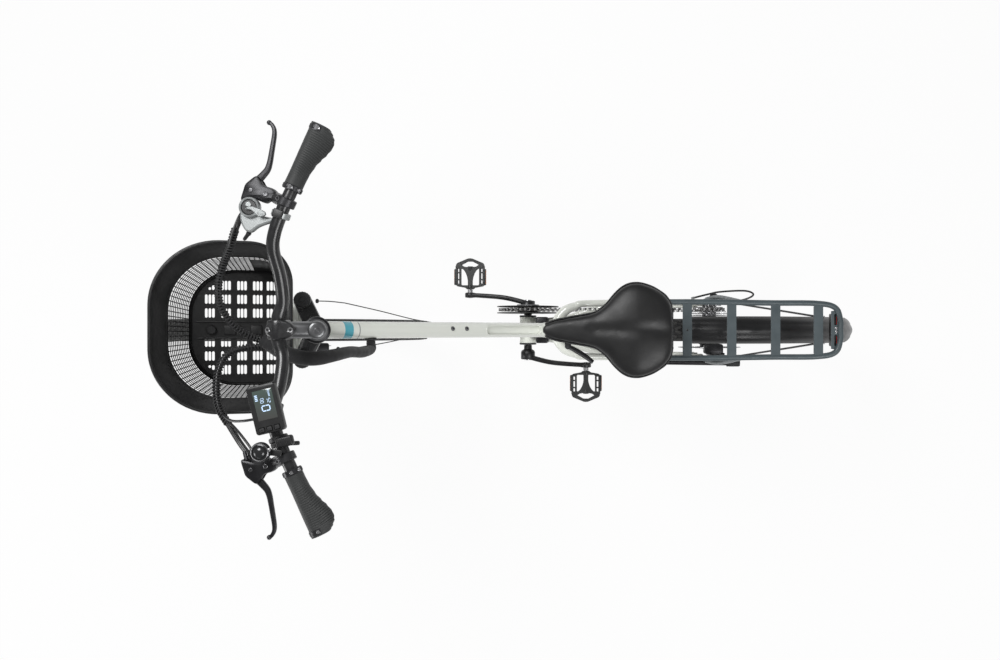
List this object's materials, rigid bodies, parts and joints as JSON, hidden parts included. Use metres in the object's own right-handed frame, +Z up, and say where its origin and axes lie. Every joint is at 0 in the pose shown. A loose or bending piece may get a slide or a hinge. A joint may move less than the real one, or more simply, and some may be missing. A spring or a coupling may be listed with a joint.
{
  "type": "electric bicycle",
  "caption": "Step-through electric bicycle with a hub motor, suspension fork, steering basket, rear rack, rear mudguard, disc brakes and derailleur gears.",
  "frame": {"origin": "on the ground under the middle of the bicycle's length and width", "axes": "+X to the rear, +Y to the rider's right, +Z up"},
  "size_m": [1.7435, 0.7172, 1.1454],
  "materials": {
    "frame_paint": "gloss",
    "rack_paint": "satin",
    "black_metal": "satin black",
    "steel": "brushed",
    "silver_plastic": "gloss",
    "black_plastic": "satin",
    "lamp_red": "gloss",
    "soft_rubber": "matt",
    "tyre": "matt",
    "saddle_cover": "satin"
  },
  "bodies": {
    "frame": {"main_frame": "frame_paint", "rear_stays_right": "frame_paint", "rear_stays_left": "frame_paint", "rear_axle": "steel", "rear_caliper": "black_metal", "chain": "steel", "derailleur": "black_metal", "rear_rack": "rack_paint", "tail_lamp": "lamp_red", "rear_mudguard": "black_plastic", "seat_collar": "black_metal", "battery_case": "black_plastic", "controller_case": "black_plastic"},
    "steering": {"fork_crown": "black_metal", "stem": "black_metal", "handlebar": "black_metal", "grip_right": "soft_rubber", "grip_left": "soft_rubber", "brake_housing_right": "black_metal", "brake_housing_left": "black_metal", "shifter_housing": "silver_plastic", "display": "black_plastic", "throttle_housing": "black_plastic", "bell_base": "black_plastic", "basket": "black_plastic", "basket_bracket": "black_metal", "cable_bundle_right": "soft_rubber", "cable_bundle_left": "soft_rubber", "wiring_sleeve": "soft_rubber"},
    "fork_lowers": {"fork_lower_legs": "frame_paint", "front_axle": "steel", "front_caliper": "black_metal"},
    "front_wheel": {"front_tyre": "tyre", "front_rim": "black_metal", "front_hub": "black_metal", "front_brake_disc": "steel"},
    "rear_wheel": {"rear_tyre": "tyre", "rear_rim": "black_metal", "rear_motor_hub": "black_metal", "rear_brake_disc": "steel"},
    "freewheel": {"freewheel": "steel"},
    "guide_pulley": {"guide_pulley": "black_plastic"},
    "tension_pulley": {"tension_pulley": "black_plastic"},
    "crank": {"chainring": "black_metal", "crank_arm_right": "black_metal", "crank_arm_left": "black_metal"},
    "pedal_right": {"pedal_right": "black_plastic"},
    "pedal_left": {"pedal_left": "black_plastic"},
    "seatpost": {"seatpost": "black_metal", "saddle": "saddle_cover"},
    "seat_lever": {"seat_lever": "black_metal"},
    "kickstand": {"kickstand_leg": "black_metal"},
    "brake_lever_right": {"brake_lever_right": "black_metal"},
    "brake_lever_left": {"brake_lever_left": "black_metal"},
    "shift_lever": {"shift_lever": "silver_plastic"},
    "bell_dome": {"bell_dome": "black_metal"},
    "button_1": {"display_button_1": "black_plastic"},
    "button_2": {"display_button_2": "black_plastic"},
    "button_3": {"display_button_3": "black_plastic"},
    "throttle": {"throttle_paddle": "black_plastic"}
  },
  "joints": [
    {"name": "steering_turn", "type": "hinge", "parent": "frame", "child": "steering", "pos_m": [-0.35589, 0, 0.75665], "axis": [0.309, 0, 0.9511], "range_deg": [-60, 60], "deforming": ["wiring_sleeve"]},
    {"name": "fork_travel", "type": "slide", "parent": "steering", "child": "fork_lowers", "axis": [0.309, 0, 0.9511], "range_m": [0, 0.045], "stiffness_N_per_m": 8000, "springref_m": -0.035},
    {"name": "front_wheel_spin", "type": "hinge", "parent": "fork_lowers", "child": "front_wheel", "pos_m": [-0.53705, 0, 0.335], "axis": [0, 1, 0], "continuous": true},
    {"name": "rear_wheel_spin", "type": "hinge", "parent": "frame", "child": "rear_wheel", "pos_m": [0.51895, 0, 0.335], "axis": [0, 1, 0], "continuous": true},
    {"name": "crank_spin", "type": "hinge", "parent": "frame", "child": "crank", "pos_m": [0.0491, 0, 0.29], "axis": [0, 1, 0], "continuous": true},
    {"name": "freewheel_spin", "type": "hinge", "parent": "frame", "child": "freewheel", "pos_m": [0.51895, 0, 0.335], "axis": [0, 1, 0], "continuous": true},
    {"name": "guide_pulley_spin", "type": "hinge", "parent": "frame", "child": "guide_pulley", "pos_m": [0.53295, 0, 0.263], "axis": [0, 1, 0], "continuous": true},
    {"name": "tension_pulley_spin", "type": "hinge", "parent": "frame", "child": "tension_pulley", "pos_m": [0.51895, 0, 0.209], "axis": [0, 1, 0], "continuous": true},
    {"name": "pedal_right_spin", "type": "hinge", "parent": "crank", "child": "pedal_right", "pos_m": [-0.1029, 0, 0.286], "axis": [0, 1, 0], "continuous": true},
    {"name": "pedal_left_spin", "type": "hinge", "parent": "crank", "child": "pedal_left", "pos_m": [0.2011, 0, 0.294], "axis": [0, 1, 0], "continuous": true},
    {"name": "seat_height", "type": "slide", "parent": "frame", "child": "seatpost", "axis": [0.3697, 0, 0.9291], "range_m": [-0.07, 0.05]},
    {"name": "seat_lever_turn", "type": "hinge", "parent": "frame", "child": "seat_lever", "pos_m": [0.16446, -0.0375, 0.57989], "axis": [0.3697, 0, 0.9291], "range_deg": [-130, 0]},
    {"name": "kickstand_turn", "type": "hinge", "parent": "frame", "child": "kickstand", "pos_m": [0.33395, -0.08, 0.288], "axis": [0, 1, 0], "range_deg": [0, 98]},
    {"name": "brake_lever_right_pull", "type": "hinge", "parent": "steering", "child": "brake_lever_right", "pos_m": [-0.35679, 0.238, 1.09239], "axis": [0, 0, 1], "range_deg": [-20, 0], "stiffness_Nm_per_rad": 1, "springref_deg": 20.05},
    {"name": "brake_lever_left_pull", "type": "hinge", "parent": "steering", "child": "brake_lever_left", "pos_m": [-0.35679, -0.238, 1.09239], "axis": [0, 0, 1], "range_deg": [0, 20], "stiffness_Nm_per_rad": 1, "springref_deg": -20.05},
    {"name": "shift_lever_turn", "type": "hinge", "parent": "steering", "child": "shift_lever", "pos_m": [-0.35479, 0.2075, 1.10839], "axis": [0, 0, 1], "range_deg": [-30, 50]},
    {"name": "bell_dome_turn", "type": "hinge", "parent": "steering", "child": "bell_dome", "pos_m": [-0.32679, -0.203, 1.13339], "axis": [0, 0, 1], "range_deg": [-25, 25], "stiffness_Nm_per_rad": 0.005},
    {"name": "button_1_press", "type": "slide", "parent": "steering", "child": "button_1", "axis": [0, 0, -1], "range_m": [0, 0.0008], "stiffness_N_per_m": 100, "springref_m": -0.003},
    {"name": "button_2_press", "type": "slide", "parent": "steering", "child": "button_2", "axis": [0, 0, -1], "range_m": [0, 0.0008], "stiffness_N_per_m": 100, "springref_m": -0.003},
    {"name": "button_3_press", "type": "slide", "parent": "steering", "child": "button_3", "axis": [0, 0, -1], "range_m": [0, 0.0008], "stiffness_N_per_m": 100, "springref_m": -0.003},
    {"name": "throttle_press", "type": "hinge", "parent": "steering", "child": "throttle", "pos_m": [-0.30657, -0.18941, 1.10404], "axis": [-0.3614, 0.93, -0.0661], "range_deg": [0, 40], "stiffness_Nm_per_rad": 0.05, "springref_deg": -20.05}
  ],
  "couplings": [
    {"joint": "freewheel_spin", "follows": "crank_spin", "ratio": 2},
    {"joint": "guide_pulley_spin", "follows": "crank_spin", "ratio": -3.2727},
    {"joint": "tension_pulley_spin", "follows": "crank_spin", "ratio": 3.2727}
  ]
}
